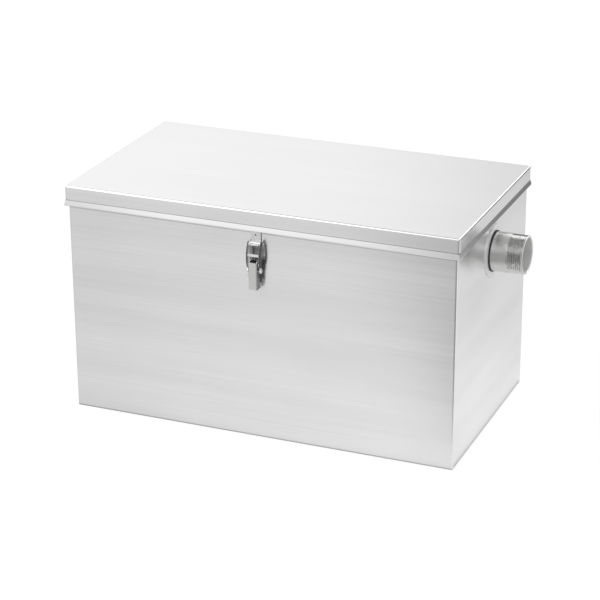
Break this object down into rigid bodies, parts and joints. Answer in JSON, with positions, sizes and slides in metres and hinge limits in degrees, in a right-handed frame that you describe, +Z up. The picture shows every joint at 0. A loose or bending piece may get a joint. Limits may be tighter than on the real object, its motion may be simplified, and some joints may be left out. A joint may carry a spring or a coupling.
{
  "type": "clay trap",
  "caption": "Stainless sheet clay trap with a lift-off lid held by over-centre latches, threaded inlet and outlet nipples, a sieve basket, slide-in baffles and a dip tee.",
  "frame": {"origin": "middle of the tank's underside, at the level it stands on", "axes": "+X from the outlet to the inlet along the length, -Y towards the front latch, +Z up"},
  "size_m": [0.586, 0.301, 0.295],
  "materials": {
    "brushed_sheet": "brushed along the sheet, satin",
    "pipe_steel": "matt pickled pipe with a cut thread",
    "inner_steel": "mill finish",
    "latch_steel": "tumbled, with bright edges",
    "rubber": "matt black rubber"
  },
  "bodies": {
    "housing": {"tank": "brushed_sheet", "lid": "brushed_sheet", "lid_gasket": "rubber", "inlet_seal": "rubber", "outlet_seal": "rubber", "inlet_nipple": "pipe_steel", "inlet_washer": "pipe_steel", "outlet_nipple": "pipe_steel", "outlet_washer": "pipe_steel", "inlet_backnut": "inner_steel", "outlet_backnut": "inner_steel", "outlet_dip_tee": "inner_steel", "inlet_baffle": "inner_steel", "inlet_baffle_guides": "inner_steel", "outlet_baffle": "inner_steel", "outlet_baffle_guides": "inner_steel", "sieve_basket": "inner_steel", "basket_handle": "inner_steel", "basket_rails": "inner_steel", "front_catch": "latch_steel", "front_latch_base": "latch_steel", "front_lever_pin": "latch_steel", "front_rivets": "latch_steel", "rear_catch": "latch_steel", "rear_latch_base": "latch_steel", "rear_lever_pin": "latch_steel", "rear_rivets": "latch_steel"},
    "front_lever": {"front_lever": "latch_steel"},
    "front_bail": {"front_bail": "latch_steel", "front_bail_pin": "latch_steel"},
    "rear_lever": {"rear_lever": "latch_steel"},
    "rear_bail": {"rear_bail": "latch_steel", "rear_bail_pin": "latch_steel"}
  },
  "joints": [
    {"name": "front_lever_swing", "type": "hinge", "parent": "housing", "child": "front_lever", "pos_m": [0, -0.145, 0.2295], "axis": [-1, 0, 0], "range_deg": [0, 110]},
    {"name": "front_bail_swing", "type": "hinge", "parent": "front_lever", "child": "front_bail", "pos_m": [0, -0.144, 0.2215], "axis": [-1, 0, 0], "range_deg": [-95, 0]},
    {"name": "rear_lever_swing", "type": "hinge", "parent": "housing", "child": "rear_lever", "pos_m": [0, 0.145, 0.2295], "axis": [1, 0, 0], "range_deg": [0, 110]},
    {"name": "rear_bail_swing", "type": "hinge", "parent": "rear_lever", "child": "rear_bail", "pos_m": [0, 0.144, 0.2215], "axis": [1, 0, 0], "range_deg": [-95, 0]}
  ],
  "couplings": [
    {"joint": "front_bail_swing", "follows": "front_lever_swing", "ratio": -0.86},
    {"joint": "rear_bail_swing", "follows": "rear_lever_swing", "ratio": -0.86}
  ]
}
